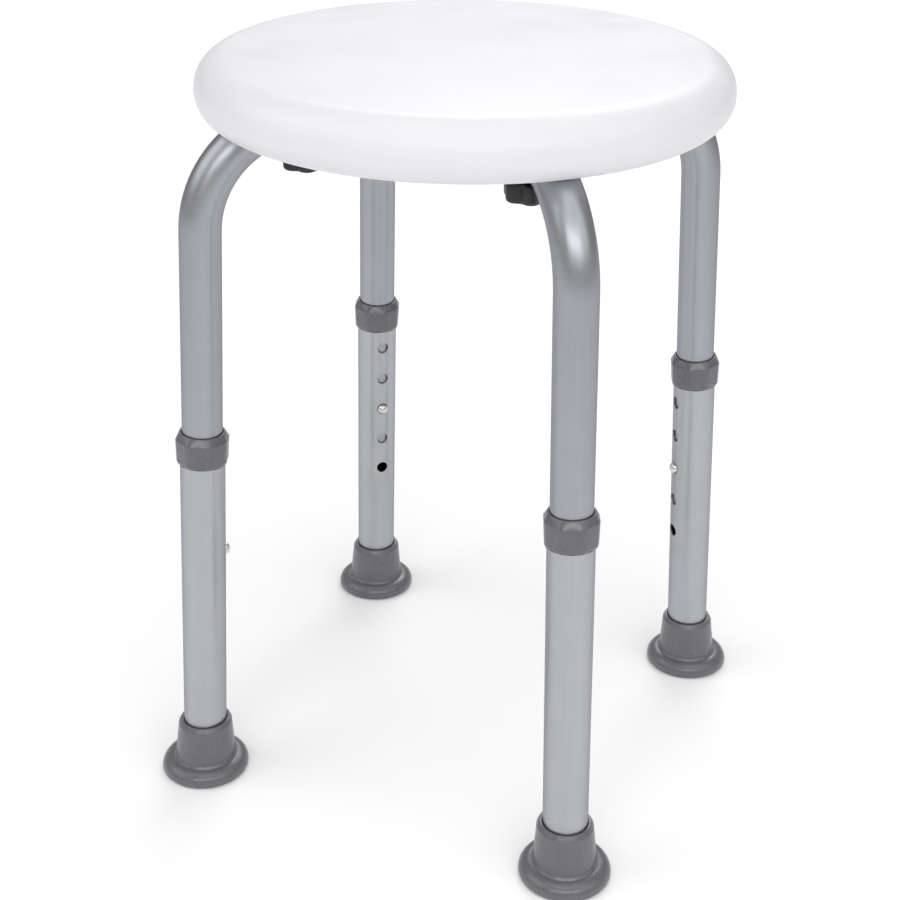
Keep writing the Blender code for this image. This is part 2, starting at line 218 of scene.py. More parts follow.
def cut(mesh, tools, operation="DIFFERENCE"):
    """The mesh with each tool mesh taken out of it."""
    made = []
    for block in [mesh, *tools]:
        made.append(bpy.data.objects.new(block.name, block))
        bpy.context.scene.collection.objects.link(made[-1])
    for tool in made[1:]:
        step = made[0].modifiers.new("cut", "BOOLEAN")
        step.operation = operation
        step.solver = "EXACT"
        step.object = tool
    bpy.context.view_layer.update()
    graph = bpy.context.evaluated_depsgraph_get()
    result = bpy.data.meshes.new_from_object(made[0].evaluated_get(graph))
    for block in made:
        bpy.data.objects.remove(block)
    work = bmesh.new()
    work.from_mesh(result)
    bmesh.ops.remove_doubles(work, verts=work.verts, dist=WELD_DISTANCE)
    work.to_mesh(result)
    work.free()
    result.name = mesh.name
    return result


def spin(angle):
    return Matrix.Rotation(angle, 4, "Z")


def lip_profile(radius, depth, fillet):
    """A round hole's profile, from its blind end down through a rounded mouth in the underside."""
    mouth = [(radius + LIP * (1 + cos(a)), SEAT_BOTTOM + LIP * (1 + sin(a)))
             for a in (pi, *LIP_TURNS)]
    blind = rounded([(0, SEAT_BOTTOM + depth), (radius * 0.55, SEAT_BOTTOM + depth, fillet), mouth[0]])
    return [*blind, *mouth[1:], (mouth[-1][0], SEAT_BOTTOM - LIP), (0, SEAT_BOTTOM - LIP)]


def channel_slot():
    """The open mouth of a channel: a slot as wide as the tube, with rounded lips, along the level run."""
    half = TUBE_RADIUS + CHANNEL_GAP
    side = [(half, AXIS_HEIGHT + 0.5 * mm), (half, SEAT_BOTTOM + LIP)]
    side += [(half + LIP * (1 + cos(a)), SEAT_BOTTOM + LIP * (1 + sin(a))) for a in LIP_TURNS]
    side += [(side[-1][0], SEAT_BOTTOM - 6 * mm)]
    section = side + [(-y, z) for y, z in reversed(side)]
    level = bent_path(2, TUBE_INNER_END)[-2].x
    ends = (level - 1 * mm, LEG_RADIUS - CHANNEL_END)
    return lofted("slot", [[(x, y, z) for y, z in section] for x in ends])


line_height = (SEAT_BOTTOM + BOTTOM_ROUND + SEAT_TOP - TOP_ROUND) / 2
seat_profile = rounded([
    (0, SEAT_TOP),
    (SEAT_RADIUS, SEAT_TOP, TOP_ROUND),
    (SEAT_RADIUS, line_height + PARTING_HALF_WIDTH),
    (SEAT_RADIUS + PARTING_LINE, line_height),
    (SEAT_RADIUS, line_height - PARTING_HALF_WIDTH),
    (SEAT_RADIUS, SEAT_BOTTOM, BOTTOM_ROUND),
    (0, SEAT_BOTTOM),
], steps=14)
seat_mesh = turned("moulded_seat", seat_profile, SEAT_SIDES)
seat_tools = [turned("vent", lip_profile(VENT_RADIUS, VENT_DEPTH, 0), 32)]
for ring, offsets in DIMPLE_RINGS:
    dimple = turned("dimple", lip_profile(DIMPLE_MOUTH, DIMPLE_DEPTH, DIMPLE_FILLET), 40)
    for quarter in range(4):
        for offset in offsets:
            turn = spin(quarter * pi / 2 + radians(offset))
            seat_tools.append(placed(dimple, turn @ Matrix.Translation((ring, 0, 0))))
channel = lofted("channel", rings_along(bent_path(18, CHANNEL_END), TUBE_RADIUS + CHANNEL_GAP, 48))
slot = channel_slot()
for corner in CORNERS:
    seat_tools.append(placed(channel, legs[corner]))
    seat_tools.append(placed(slot, legs[corner]))
seat_mesh = cut(seat_mesh, seat_tools)


def colour(code):
    """An sRGB hex code as linear values with alpha."""
    values = [int(code[i:i + 2], 16) / 255 for i in (0, 2, 4)]
    return (*[v / 12.92 if v <= 0.04045 else ((v + 0.055) / 1.055) ** 2.4 for v in values], 1)


def new_material(name, base, roughness, metallic=0.0):
    material = bpy.data.materials.new(name)
    material.use_nodes = True
    shader = material.node_tree.nodes["Principled BSDF"]
    shader.inputs["Base Color"].default_value = colour(base)
    shader.inputs["Roughness"].default_value = roughness
    shader.inputs["Metallic"].default_value = metallic
    return material, material.node_tree, shader


def add(tree, kind, inputs=None, **settings):
    """A node with its settings, and its inputs set or linked."""
    node = tree.nodes.new("ShaderNode" + kind)
    for name, value in settings.items():
        setattr(node, name, value)
    for name, value in (inputs or {}).items():
        if isinstance(value, bpy.types.NodeSocket):
            tree.links.new(value, node.inputs[name])
        else:
            node.inputs[name].default_value = value
    return node


# Blow-moulded polyethylene: near white, satin, with the mould's fine peel and a few dull rubbed patches.
PEEL_SIZE = 1.6 * mm
RUB_SIZE = 45 * mm
polyethylene, tree, shader = new_material("blow_moulded_polyethylene", "E3E3E7", 0.40)
where = add(tree, "TexCoord").outputs["Object"]
peel = add(tree, "TexNoise", {"Vector": where, "Scale": 1 / PEEL_SIZE, "Detail": 3.0})
rub = add(tree, "TexNoise", {"Vector": where, "Scale": 1 / RUB_SIZE, "Detail": 5.0, "Roughness": 0.6})
dull = add(tree, "MapRange", {"Value": rub.outputs[0], "From Min": 0.35, "From Max": 0.7,
                              "To Min": 0.34, "To Max": 0.48})
tint = add(tree, "ValToRGB", {"Fac": rub.outputs[0]})
tint.color_ramp.elements[0].position, tint.color_ramp.elements[0].color = 0.3, colour("E2E2E6")
tint.color_ramp.elements[1].position, tint.color_ramp.elements[1].color = 0.7, colour("E5E5E9")
bump = add(tree, "Bump", {"Height": peel.outputs[0], "Strength": 0.06, "Distance": 0.2 * mm})
tree.links.new(tint.outputs[0], shader.inputs["Base Color"])
tree.links.new(dull.outputs[0], shader.inputs["Roughness"])
tree.links.new(bump.outputs[0], shader.inputs["Normal"])


def mount(name, mesh, material, body, node, matrix=Matrix.Identity(4), sharp=38):
    """Puts a finished piece in its place, in the stead of its CAD node. One with no body is left without a
    parent.
    """
    if not mesh.materials:
        mesh.materials.append(material)
    mesh.shade_smooth()
    mesh.set_sharp_from_angle(angle=radians(sharp))
    piece = bpy.data.objects.new(name, mesh)
    bpy.context.scene.collection.objects.link(piece)
    piece.matrix_world = matrix
    bpy.context.view_layer.update()
    if body:
        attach(piece, body)
    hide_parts(node)
    return piece


mount("moulded_seat", seat_mesh, polyethylene, "seat_frame", "seat")


# --- Threaded inserts ---------------------------------------------------------------------------------
# Turned brass bushes with a knurled outside, moulded into the seat above each channel. The knobs' studs
# screw into them.

INSERT_RADIUS = 6.3 * mm
INSERT_BORE = 4.3 * mm
INSERT_EDGE = 0.5 * mm
GROOVE_HALF_WIDTH = 1 * mm
KNURLS = 28
KNURL_DEPTH = 0.12 * mm
insert_low, insert_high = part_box("threaded_insert_front_left")
groove = (insert_low.z + insert_high.z) / 2
groove_radius = 0.9 * INSERT_RADIUS


def knurled(radius, angle, height):
    if radius < groove_radius or abs(height - groove) < GROOVE_HALF_WIDTH:
        return radius
    return radius - KNURL_DEPTH * (1 + cos(KNURLS * angle))


insert_mesh = turned("brass_insert", rounded([
    (INSERT_BORE, insert_high.z),
    (INSERT_RADIUS, insert_high.z, INSERT_EDGE),
    (INSERT_RADIUS, groove + GROOVE_HALF_WIDTH),
    (groove_radius, groove + 0.8 * GROOVE_HALF_WIDTH),
    (groove_radius, groove - 0.8 * GROOVE_HALF_WIDTH),
    (INSERT_RADIUS, groove - GROOVE_HALF_WIDTH),
    (INSERT_RADIUS, insert_low.z, INSERT_EDGE),
    (INSERT_BORE, insert_low.z),
], steps=2), 112, knurled, closed=True)

# Turned brass: warm yellow, with the fine rings that the lathe's tool leaves.
TOOL_FEED = 0.25 * mm
brass, tree, shader = new_material("turned_brass", "C9A45C", 0.30, 1.0)
where = add(tree, "TexCoord").outputs["Object"]
rings = add(tree, "TexWave", {"Vector": where, "Scale": 0.05 / TOOL_FEED, "Distortion": 0.4},
            bands_direction="Z")
bump = add(tree, "Bump", {"Height": rings.outputs[1], "Strength": 0.2, "Distance": 0.02 * mm})
tree.links.new(bump.outputs[0], shader.inputs["Normal"])


def knob_axis(corner):
    x, y, _ = joints["knob_turn_" + corner]["pos_m"]
    return Matrix.Translation((x, y, 0)) @ legs[corner].to_quaternion().to_matrix().to_4x4()


for corner in CORNERS:
    mount("brass_insert_" + corner, insert_mesh, brass, "seat_frame", "threaded_insert_" + corner,
          knob_axis(corner))


# --- Bent leg tubes -----------------------------------------------------------------------------------
# Drawn aluminium tube, 25 mm across with a 1.2 mm wall, bent on a former, drilled for its button and its
# knob's stud, then satin anodised. Each lies in its channel under the seat.

TUBE_WALL = 1.2 * mm
TUBE_TAIL = 36 * mm
BUTTON_HEIGHT = 165.9 * mm
BURR = 0.2 * mm
button_hole_radius = 4.1 * mm
stud_hole_radius = 4.3 * mm
knob_x = LEG_RADIUS - Vector(joints["knob_turn_front_left"]["pos_m"][:2]).length


def hollow_bar(name, path, radius, wall, sides):
    """A tube along a path, its ends lightly deburred."""
    skin = rings_along([path[0], path[0] + (path[1] - path[0]).normalized() * BURR, *path[1:-1],
                        path[-1] - (path[-1] - path[-2]).normalized() * BURR, path[-1]], radius, sides)
    rim = rings_along(path, radius - BURR, sides)
    skin[0], skin[-1] = rim[0], rim[-1]
    bore = rings_along(path, radius - wall, sides)
    return lofted(name, [*skin, *reversed(bore)], closed=True)


def drill(radius, depth_low, depth_high, flare=0.0):
    """A cutter along Z; flare widens its top, to break the hole's outer edge."""
    top = [(0, depth_high), (radius + flare, depth_high)]
    if flare:
        top.append((radius, depth_high - 2 * flare))
    return turned("drill", [*top, (radius, depth_low), (0, depth_low)], 48)


def square_to_leg(height):
    """Axes on the leg's axis with Z pointing level to the stool's middle, square to the tube."""
    return Matrix.Translation(ALONG * height) @ Matrix.Rotation(LEAN + pi / 2, 4, "Y")


tube_path = [ALONG * (BUTTON_HEIGHT - TUBE_TAIL), *bent_path(26, TUBE_INNER_END)]
bent_mesh = cut(hollow_bar("bent_tube", tube_path, TUBE_RADIUS, TUBE_WALL, 64), [
    placed(drill(button_hole_radius, 0, TUBE_RADIUS + 2 * mm), square_to_leg(BUTTON_HEIGHT)),
    placed(drill(stud_hole_radius, AXIS_HEIGHT - 20 * mm, AXIS_HEIGHT + 20 * mm),
           Matrix.Translation((knob_x, 0, 0))),
])

# Satin anodised aluminium: a neutral grey. The drawing die leaves fine lines along the tube, which the
# etch softens, and handling leaves a few cloudy spots. The lines and the etch's grain are drawn several
# times coarser than they are, so that they show.
DIE_LINE = 0.7 * mm
DIE_LINE_LENGTH = 90 * mm
CLOUD_SIZE = 22 * mm
ETCH_GRAIN = 0.6 * mm
OXIDE_EDGE = "C4C4C8"


def anodised(name, dark, light):
    material, tree, shader = new_material(name, dark, 0.36, 1.0)
    shader.inputs["Specular Tint"].default_value = colour(OXIDE_EDGE)
    where = add(tree, "UVMap", uv_map="metres").outputs[0]
    stretch = add(tree, "Mapping", {"Vector": where, "Scale": (1 / DIE_LINE, 1 / DIE_LINE_LENGTH, 1)})
    lines = add(tree, "TexNoise", {"Vector": stretch.outputs[0], "Scale": 1.0, "Detail": 4.0,
                                   "Roughness": 0.6})
    place = add(tree, "TexCoord").outputs["Object"]
    cloud = add(tree, "TexNoise", {"Vector": place, "Scale": 1 / CLOUD_SIZE, "Detail": 4.0})
    grain = add(tree, "TexNoise", {"Vector": place, "Scale": 1 / ETCH_GRAIN, "Detail": 2.0})
    mixed = add(tree, "Math", {0: lines.outputs[0], 1: 0.55}, operation="MULTIPLY")
    mixed = add(tree, "Math", {0: cloud.outputs[0], 1: 0.45, 2: mixed.outputs[0]},
                operation="MULTIPLY_ADD")
    sheen = add(tree, "MapRange", {"Value": mixed.outputs[0], "From Min": 0.3, "From Max": 0.7,
                                   "To Min": 0.31, "To Max": 0.40})
    tint = add(tree, "ValToRGB", {"Fac": mixed.outputs[0]})
    tint.color_ramp.elements[0].position, tint.color_ramp.elements[0].color = 0.32, colour(dark)
    tint.color_ramp.elements[1].position, tint.color_ramp.elements[1].color = 0.68, colour(light)
    relief = add(tree, "Math", {0: grain.outputs[0], 1: 0.5, 2: lines.outputs[0]},
                 operation="MULTIPLY_ADD")
    bump = add(tree, "Bump", {"Height": relief.outputs[0], "Strength": 0.12, "Distance": 0.03 * mm})
    tree.links.new(tint.outputs[0], shader.inputs["Base Color"])
    tree.links.new(sheen.outputs[0], shader.inputs["Roughness"])
    tree.links.new(bump.outputs[0], shader.inputs["Normal"])
    return material


satin_aluminium = anodised("satin_anodised_aluminium", "A1A2A7", "ABACB1")
for corner in CORNERS:
    mount("bent_tube_" + corner, bent_mesh, satin_aluminium, "seat_frame", "upper_tube_" + corner,
          legs[corner])


# --- Tube end plugs -----------------------------------------------------------------------------------
# Black nylon caps pushed into the tubes' inner ends. Thin ribs on the stem hold them, and a dimple in the
# cap's face is left by the mould's ejector pin.

PLUG_CAP = 2 * mm
PLUG_STEM = 10 * mm
PLUG_RIBS = 12
PLUG_WALL = 1.8 * mm
FIT_GAP = 0.3 * mm
plug_stem_radius = TUBE_RADIUS - TUBE_WALL - FIT_GAP


def ribbed(radius, angle, height):
    if height > 0 or radius < plug_stem_radius - 0.2 * mm:
        return radius
    return radius - 0.5 * mm * (0.5 - 0.5 * cos(PLUG_RIBS * angle))


plug_mesh = turned("tube_plug", rounded([
    (0, PLUG_CAP - 0.5 * mm),
    (3 * mm, PLUG_CAP - 0.5 * mm, 0.3 * mm),
    (3.6 * mm, PLUG_CAP + FIT_GAP, 0.3 * mm),
    (TUBE_RADIUS, PLUG_CAP + FIT_GAP, 1.2 * mm),
    (TUBE_RADIUS, FIT_GAP, 0.2 * mm),
    (plug_stem_radius, FIT_GAP),
    (plug_stem_radius, -PLUG_STEM, 0.8 * mm),
    (plug_stem_radius - PLUG_WALL, -PLUG_STEM),
    (plug_stem_radius - PLUG_WALL, 0),
    (0, 0),
], steps=3), 96, ribbed)

# Black nylon, injection moulded: nearly black, half glossy, with the mould's spark-eroded grain.
GRAIN_SIZE = 0.5 * mm
nylon, tree, shader = new_material("moulded_black_nylon", "17181A", 0.38)
where = add(tree, "TexCoord").outputs["Object"]
grain = add(tree, "TexNoise", {"Vector": where, "Scale": 1 / GRAIN_SIZE, "Detail": 3.0})
rub = add(tree, "TexNoise", {"Vector": where, "Scale": 1 / (8 * mm), "Detail": 3.0})
dull = add(tree, "MapRange", {"Value": rub.outputs[0], "From Min": 0.3, "From Max": 0.7,
                              "To Min": 0.32, "To Max": 0.46})
bump = add(tree, "Bump", {"Height": grain.outputs[0], "Strength": 0.15, "Distance": 0.08 * mm})
tree.links.new(dull.outputs[0], shader.inputs["Roughness"])
tree.links.new(bump.outputs[0], shader.inputs["Normal"])
tube_end = Matrix.Translation(tube_path[-1]) @ Matrix.Rotation(pi / 2, 4, "Y")
for corner in CORNERS:
    mount("tube_plug_" + corner, plug_mesh, nylon, "seat_frame", "end_plug_" + corner,
          legs[corner] @ tube_end)


# --- Saddle blocks ------------------------------------------------------------------------------------
# Black nylon blocks between the knob and the tube: flat below for the knob to turn against, hollowed
# above to sit round the tube.

SADDLE_RADIUS = 10 * mm
SADDLE_HEIGHT = 4.5 * mm
saddle_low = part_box("saddle_washer_front_left")[0].z
saddle_block = turned("saddle_block", rounded([
    (0, saddle_low + SADDLE_HEIGHT),
    (SADDLE_RADIUS, saddle_low + SADDLE_HEIGHT, 0.5 * mm),
    (SADDLE_RADIUS, saddle_low, 0.8 * mm),
    (0, saddle_low),
], steps=4), 72)
bed_path = [place - Vector((knob_x, 0, 0)) for place in bent_path(26, TUBE_INNER_END)]
saddle_mesh = cut(saddle_block, [
    lofted("bed", rings_along(bed_path, TUBE_RADIUS + FIT_GAP, 72)),
    drill(stud_hole_radius, saddle_low - 2 * mm, saddle_low + 10 * mm),
])
for corner in CORNERS:
    mount("saddle_block_" + corner, saddle_mesh, nylon, "saddle_" + corner, "saddle_washer_" + corner,
          knob_axis(corner))


# --- Knobs --------------------------------------------------------------------------------------------
# Six-lobed hand knobs of black nylon, moulded round their steel studs. Turned up tight, they clamp each
# tube in its channel.

KNOB_RADIUS = 15.5 * mm
KNOB_HUB = 8 * mm
KNOB_LOBES = 6
LOBE_DEPTH = 3.6 * mm
KNOB_HEIGHT = 11.2 * mm
SOCKET_FLOOR = 3.6 * mm
RECESS_RADIUS = 8 * mm
RECESS_DEPTH = 1.2 * mm
KNOB_TURNS = {"front_left": 16, "front_right": 42, "rear_right": 21, "rear_left": 50}
knob_low, knob_high = (place.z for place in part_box("knob_front_left"))
lobes_top = knob_low + KNOB_HEIGHT
socket = knob_low + SOCKET_FLOOR
lobe_root = KNOB_HUB + 1 * mm


def lobed(radius, angle, height):
    if radius <= lobe_root:
        return radius
    share = (radius - lobe_root) / (KNOB_RADIUS - lobe_root)
    valley = 1 - (0.5 + 0.5 * cos(KNOB_LOBES * angle)) ** 0.7
    return radius - LOBE_DEPTH * share * valley


knob_mesh = turned("star_knob", rounded([
    (0, socket),
    (stud_hole_radius, socket),
    (stud_hole_radius, knob_high, 0.3 * mm),
    (KNOB_HUB, knob_high, 0.6 * mm),
    (KNOB_HUB, lobes_top, 0.8 * mm),
    (KNOB_RADIUS, lobes_top, 1.8 * mm),
    (KNOB_RADIUS - 0.3 * mm, knob_low, 2.8 * mm),
    (RECESS_RADIUS + 0.7 * mm, knob_low, 0.6 * mm),
    (RECESS_RADIUS, knob_low + RECESS_DEPTH, 0.6 * mm),
    (0, knob_low + RECESS_DEPTH),
], steps=5), 144, lobed)
for corner in CORNERS:
    mount("star_knob_" + corner, knob_mesh, nylon, "knob_body_" + corner, "knob_" + corner,
          knob_axis(corner) @ spin(radians(KNOB_TURNS[corner])))


# --- Knob studs ---------------------------------------------------------------------------------------
# M8 studs of zinc-plated steel with a rolled thread of 1.25 mm pitch. The knob is moulded round the stud's
# foot, and both ends are chamfered to start the thread.

THREAD_PITCH = 1.25 * mm
THREAD_DEPTH = 0.65 * mm
STUD_RADIUS = 4 * mm
THREAD_INSET = 1 * mm
STUD_CHAMFER = 0.9 * mm
STEPS_PER_PITCH = 6
stud_low, stud_high = (place.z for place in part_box("knob_stud_front_left"))


def threaded(radius, angle, height):
    if radius < 0.98 * STUD_RADIUS:
        return radius
    turns = ((height - stud_low) / THREAD_PITCH - angle / (2 * pi)) % 1
    return radius - THREAD_DEPTH * (1 - abs(2 * turns - 1))


threaded_length = stud_high - stud_low - 2 * THREAD_INSET
rows = ceil(threaded_length / THREAD_PITCH * STEPS_PER_PITCH)
flank = [(STUD_RADIUS, stud_high - THREAD_INSET - threaded_length * i / rows) for i in range(rows + 1)]
stud_mesh = turned("threaded_stud", [
    (0, stud_high), (STUD_RADIUS - STUD_CHAMFER, stud_high),
    *flank,
    (STUD_RADIUS - STUD_CHAMFER, stud_low), (0, stud_low),
], 32, threaded)

# Bright zinc plate on steel: a cool light metal with a faintly uneven shine.
zinc, tree, shader = new_material("zinc_plated_steel", "C4C7CC", 0.26, 1.0)
where = add(tree, "TexCoord").outputs["Object"]
patch = add(tree, "TexNoise", {"Vector": where, "Scale": 1 / (3 * mm), "Detail": 4.0})
sheen = add(tree, "MapRange", {"Value": patch.outputs[0], "From Min": 0.3, "From Max": 0.7,
                               "To Min": 0.2, "To Max": 0.36})
tree.links.new(sheen.outputs[0], shader.inputs["Roughness"])
for corner in CORNERS:
    mount("threaded_stud_" + corner, stud_mesh, zinc, "knob_body_" + corner, "knob_stud_" + corner,
          knob_axis(corner))


# --- Spring clips -------------------------------------------------------------------------------------
# Strips of hardened spring steel folded to a narrow V inside the tube. They push the buttons out: one arm
# rests on the tube's far wall, and the other springs back under the button.

CLIP_WIDTH = 7 * mm
CLIP_THICKNESS = 0.8 * mm
CLIP_DROP = 22 * mm
CLIP_RISE = 7 * mm
CLIP_FOLD = 2.2 * mm
CLIP_SECTION = ((1, 0.42), (1, -0.42), (0.7, -0.5), (-0.7, -0.5), (-1, -0.42), (-1, 0.42), (-0.7, 0.5),
                (0.7, 0.5))
tube_bore = TUBE_RADIUS - TUBE_WALL
bore_reach = sqrt(tube_bore ** 2 - CLIP_WIDTH ** 2 / 4) * cos(pi / 16)
clip_reach = bore_reach - FIT_GAP - CLIP_THICKNESS / 2
fold = [(CLIP_FOLD * cos(a), -CLIP_DROP + CLIP_FOLD * sin(a)) for a in (-pi * i / 12 for i in range(13))]
clip_route = [(clip_reach, CLIP_RISE), (clip_reach, -CLIP_RISE), *fold, (-clip_reach, CLIP_RISE)]
clip_rings = []
for i, (x, z) in enumerate(clip_route):
    before, after = clip_route[max(i - 1, 0)], clip_route[min(i + 1, len(clip_route) - 1)]
    way = Vector((after[0] - before[0], after[1] - before[1])).normalized()
    ring = []
    for side, edge in CLIP_SECTION:
        thick, wide = side * CLIP_THICKNESS / 2, edge * CLIP_WIDTH
        ring.append((x + way.y * thick, wide, z - way.x * thick))
    clip_rings.append(ring)
clip_mesh = lofted("folded_clip", clip_rings)

# Hardened spring steel: darker than plate, with a brown-blue temper film.
spring_steel, tree, shader = new_material("tempered_spring_steel", "6E6C6B", 0.33, 1.0)
where = add(tree, "TexCoord").outputs["Object"]
film = add(tree, "TexNoise", {"Vector": where, "Scale": 1 / (6 * mm), "Detail": 3.0})
tint = add(tree, "ValToRGB", {"Fac": film.outputs[0]})
tint.color_ramp.elements[0].position, tint.color_ramp.elements[0].color = 0.35, colour("5B6069")
tint.color_ramp.elements[1].position, tint.color_ramp.elements[1].color = 0.65, colour("7A7065")
tree.links.new(tint.outputs[0], shader.inputs["Base Color"])
at_button = Matrix.Translation(ALONG * BUTTON_HEIGHT) @ Matrix.Rotation(LEAN, 4, "Y")
for corner in CORNERS:
    clip = mount("folded_clip_" + corner, clip_mesh.copy(), spring_steel, None, "spring_clip_" + corner,
                 legs[corner] @ at_button)
    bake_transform(clip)


# --- Buttons ------------------------------------------------------------------------------------------
# Domed pins of nickel-plated steel on the clip's free end. They stand out through both tubes and lock the
# leg's height; pressed flush, they let the leg slide.

SLEEVE_RADIUS = 14 * mm
BUTTON_RADIUS = 3.8 * mm
BUTTON_PROUD = 3.2 * mm
BUTTON_EDGE = 0.3 * mm
tip = SLEEVE_RADIUS + BUTTON_PROUD
dome = [(BUTTON_RADIUS * sin(pi / 2 * i / 14), tip - BUTTON_PROUD * (1 - cos(pi / 2 * i / 14)))
        for i in range(15)]
button_mesh = turned("domed_button", [
    *dome,
    (BUTTON_RADIUS, bore_reach + BUTTON_EDGE), (BUTTON_RADIUS - BUTTON_EDGE, bore_reach), (0, bore_reach),
], 48)

# Nickel plate: bright and warm grey, polished by thumbs.
nickel, tree, shader = new_material("polished_nickel_plate", "D9D8D4", 0.14, 1.0)
where = add(tree, "TexCoord").outputs["Object"]
haze = add(tree, "TexNoise", {"Vector": where, "Scale": 1 / (2 * mm), "Detail": 4.0})
sheen = add(tree, "MapRange", {"Value": haze.outputs[0], "From Min": 0.3, "From Max": 0.7,
                               "To Min": 0.09, "To Max": 0.22})
tree.links.new(sheen.outputs[0], shader.inputs["Roughness"])
for corner in CORNERS:
    mount("domed_button_" + corner, button_mesh, nickel, "button_body_" + corner, "button_" + corner,
          legs[corner] @ square_to_leg(BUTTON_HEIGHT))


# --- Lower tubes --------------------------------------------------------------------------------------
# The same anodised aluminium, 28 mm across, sliding on the bent tubes. Five holes, an inch apart, face
# the stool's middle, each with its edge broken by a countersink.

SLEEVE_WALL = 1.2 * mm
SLEEVE_START = 10.5 * mm
SLEEVE_TOP = 247.8 * mm
HOLE_COUNT = 5
HOLE_PITCH = 25.4 * mm
HOLE_FLARE = 0.5 * mm
sleeve_path = [ALONG * (SLEEVE_START + (SLEEVE_TOP - SLEEVE_START) * i / 12) for i in range(13)]
holes = []
for i in range(HOLE_COUNT):
    height = BUTTON_HEIGHT + (i - HOLE_COUNT // 2) * HOLE_PITCH
    holes.append(placed(drill(button_hole_radius, 2 * mm, SLEEVE_RADIUS + HOLE_FLARE, HOLE_FLARE),
                        square_to_leg(height)))
sleeve_mesh = cut(hollow_bar("sliding_tube", sleeve_path, SLEEVE_RADIUS, SLEEVE_WALL, 64), holes)

# The same anodised aluminium as the bent tubes, painted paler: a painted reflection of the bright floor
# near the feet, which the lower tubes mirror.
floor_reflection_aluminium = anodised("anodised_aluminium_painted_floor_reflection", "AEAFB3", "B7B8BC")
for corner in CORNERS:
    mount("sliding_tube_" + corner, sleeve_mesh, floor_reflection_aluminium, "lower_leg_" + corner,
          "lower_tube_" + corner, legs[corner])


# --- Collars ------------------------------------------------------------------------------------------
# Grey polypropylene rings pushed over the lower tubes' mouths. Eight faint flats give a grip, the top
# is bevelled, and a lip inside stops the collar on the tube's end and takes up the rattle.

COLLAR_SKIRT = 18 * mm
COLLAR_HEIGHT = 20.7 * mm
COLLAR_RADIUS = 16.5 * mm
COLLAR_FLAT = 15.95 * mm
COLLAR_CREST = COLLAR_RADIUS + 0.2 * mm
BEVEL_TOP_RADIUS = 13.9 * mm
BEVEL_BASE = 16.1 * mm
skirt_bore = SLEEVE_RADIUS + FIT_GAP
lip_bore = TUBE_RADIUS + FIT_GAP


def faceted(radius, angle, height):
    if radius < skirt_bore + 0.8 * mm:
        return radius
    flat = COLLAR_FLAT / cos(angle % (pi / 4) - pi / 8)
    return radius * min(flat, COLLAR_CREST) / COLLAR_RADIUS


collar_mesh = turned("leg_collar", rounded([
    (lip_bore, COLLAR_HEIGHT - 1 * mm),
    (lip_bore, COLLAR_HEIGHT, 0.3 * mm),
    (BEVEL_TOP_RADIUS, COLLAR_HEIGHT, 0.9 * mm),
    (COLLAR_RADIUS, BEVEL_BASE, 0.8 * mm),
    (COLLAR_RADIUS - 0.5 * mm, 2.0 * mm, 1.0 * mm),
    (15.2 * mm, 0, 0.5 * mm),
    (skirt_bore, 0, 0.2 * mm),
    (skirt_bore, COLLAR_SKIRT + FIT_GAP),
    (lip_bore, COLLAR_SKIRT + FIT_GAP),
], steps=4), 160, faceted, closed=True)

# Injection-moulded polypropylene: mid grey, satin, with a leathery mould grain, drawn about twice its
# real size so that it holds together from a step away.
MOULD_GRAIN = 2.0 * mm
polypropylene, tree, shader = new_material("moulded_grey_polypropylene", "59585E", 0.28)
shader.inputs["Specular IOR Level"].default_value = 0.8
where = add(tree, "TexCoord").outputs["Object"]
grain = add(tree, "TexNoise", {"Vector": where, "Scale": 1 / MOULD_GRAIN, "Detail": 1.0})
rub = add(tree, "TexNoise", {"Vector": where, "Scale": 1 / (9 * mm), "Detail": 4.0})
dull = add(tree, "MapRange", {"Value": rub.outputs[0], "From Min": 0.3, "From Max": 0.7,
                              "To Min": 0.22, "To Max": 0.34})
tint = add(tree, "ValToRGB", {"Fac": rub.outputs[0]})
tint.color_ramp.elements[0].position, tint.color_ramp.elements[0].color = 0.3, colour("56555B")
tint.color_ramp.elements[1].position, tint.color_ramp.elements[1].color = 0.7, colour("5D5C62")
bump = add(tree, "Bump", {"Height": grain.outputs[0], "Strength": 0.05, "Distance": 0.04 * mm})
tree.links.new(tint.outputs[0], shader.inputs["Base Color"])
tree.links.new(dull.outputs[0], shader.inputs["Roughness"])
tree.links.new(bump.outputs[0], shader.inputs["Normal"])
collar_seat = Matrix.Translation(ALONG * (SLEEVE_TOP - COLLAR_SKIRT)) @ Matrix.Rotation(LEAN, 4, "Y")
for corner in CORNERS:
    mount("leg_collar_" + corner, collar_mesh, polypropylene, "lower_leg_" + corner, "collar_" + corner,
          legs[corner] @ collar_seat)


# --- Foot discs ---------------------------------------------------------------------------------------
# Stamped steel discs lying in the feet, so that the tube's end doesn't cut through the rubber. They are
# plated like the studs, and the stamping rounds their upper edge.

DISC_RADIUS = 13.1 * mm
disc_low, disc_high = (place.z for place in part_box("foot_disc_front_left"))
disc_mesh = turned("steel_disc", rounded([
    (0, disc_high), (DISC_RADIUS, disc_high, 0.5 * mm), (DISC_RADIUS, disc_low, 0.2 * mm), (0, disc_low),
], steps=3), 64)
for corner in CORNERS:
    mount("steel_disc_" + corner, disc_mesh, zinc, "lower_leg_" + corner, "foot_disc_" + corner,
          legs[corner] @ Matrix.Translation((disc_low * tan(LEAN), 0, 0)))


# --- Feet ---------------------------------------------------------------------------------------------
# Moulded grey rubber tips. The cup leans with the leg and grips the tube; below a crease it swells into a
# wide bell that lies level on the floor, with rings in the sole against slipping.

